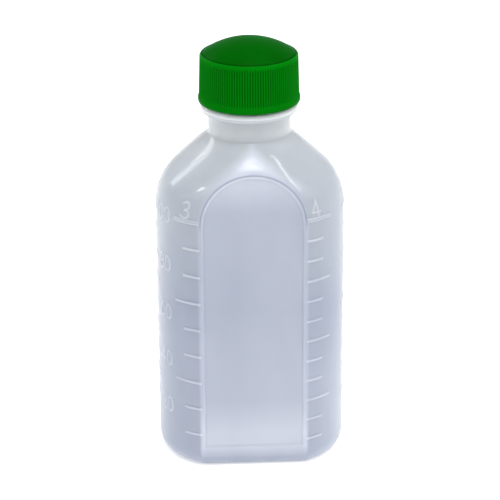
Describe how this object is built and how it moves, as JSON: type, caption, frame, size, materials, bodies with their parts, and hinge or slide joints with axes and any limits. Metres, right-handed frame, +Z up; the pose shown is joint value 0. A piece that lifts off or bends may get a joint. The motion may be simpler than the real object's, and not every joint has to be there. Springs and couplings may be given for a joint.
{
  "type": "plastic medicine bottle",
  "caption": "Upright flat-sided translucent plastic bottle with raised graduations and a ribbed, domed screw cap over a sealing liner; holds and doses liquids.",
  "frame": {"origin": "centre of the standing ring's footprint, at the surface that the bottle stands on", "axes": "+Z up along the neck's axis, +X towards the right rounded side, +Y away from the viewer through the two label panels"},
  "size_m": [0.0498, 0.0368, 0.1133],
  "materials": {
    "bottle_plastic": "translucent natural polypropylene, satin outside, with raised moulded graduations",
    "liner_foam": "white foamed polyethylene disc",
    "cap_plastic": "green moulded plastic, half gloss, finely ribbed skirt"
  },
  "bodies": {
    "bottle": {"bottle": "bottle_plastic"},
    "liner": {"liner": "liner_foam"},
    "cap": {"cap": "cap_plastic"}
  },
  "joints": [
    {"name": "cap_lift", "type": "slide", "parent": "bottle", "child": "liner", "axis": [0, 0, 1], "range_m": [0, 0.015]},
    {"name": "cap_turn", "type": "hinge", "parent": "liner", "child": "cap", "pos_m": [0, 0, 0.108], "axis": [0, 0, 1], "range_deg": [0, 1800]}
  ],
  "couplings": [
    {"joint": "cap_lift", "follows": "cap_turn", "m_per_rad": 0.00047746}
  ]
}
